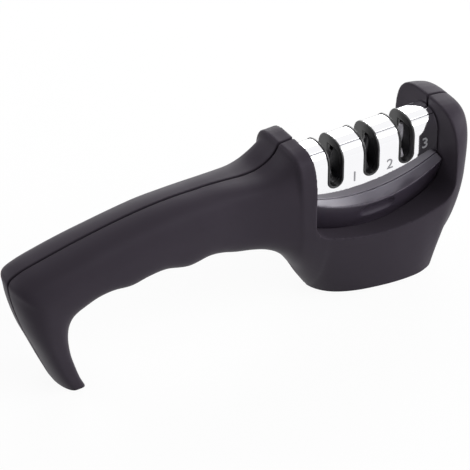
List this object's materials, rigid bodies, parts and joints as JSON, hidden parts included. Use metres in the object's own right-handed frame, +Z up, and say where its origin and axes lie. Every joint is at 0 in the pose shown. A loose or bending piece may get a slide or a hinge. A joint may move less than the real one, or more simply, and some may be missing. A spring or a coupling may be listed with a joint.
{
  "type": "handheld knife sharpener",
  "caption": "Handheld knife sharpener: hooked black handle, head with a flat foot, and a lift-out cartridge under a bright cover with V-slots for the blade.",
  "frame": {"origin": "centre of the flat foot, on the table", "axes": "+X along the object from the hooked end of the handle towards the front post, +Y across towards the far shell, +Z up"},
  "size_m": [0.1967, 0.0432, 0.0718],
  "materials": {
    "soft_black": "fine satin grain",
    "foot_rubber": "matte",
    "gloss_black": "gloss",
    "chrome": "mirror plated",
    "steel": "plain",
    "carbide": "ground carbide",
    "diamond_grit": "grit plated",
    "white_ceramic": "fine matte"
  },
  "bodies": {
    "body": {"near_shell": "soft_black", "far_shell": "soft_black", "base_plate": "soft_black", "foot_pad": "foot_rubber", "base_screws": "steel", "shell_screws": "steel"},
    "cartridge": {"cartridge_housing": "gloss_black", "cartridge_base": "gloss_black", "cartridge_screws": "steel", "slot_frame": "gloss_black", "chrome_cover": "chrome", "coarse_holder": "gloss_black", "carbide_blade_left": "carbide", "carbide_blade_right": "carbide", "medium_holder": "gloss_black", "diamond_rod_left": "diamond_grit", "diamond_rod_right": "diamond_grit", "fine_holder": "gloss_black", "ceramic_rod_left": "white_ceramic", "ceramic_rod_right": "white_ceramic"}
  },
  "joints": [
    {"name": "cartridge_lift", "type": "slide", "parent": "body", "child": "cartridge", "axis": [0, 0, 1], "range_m": [0, 0.053]}
  ]
}
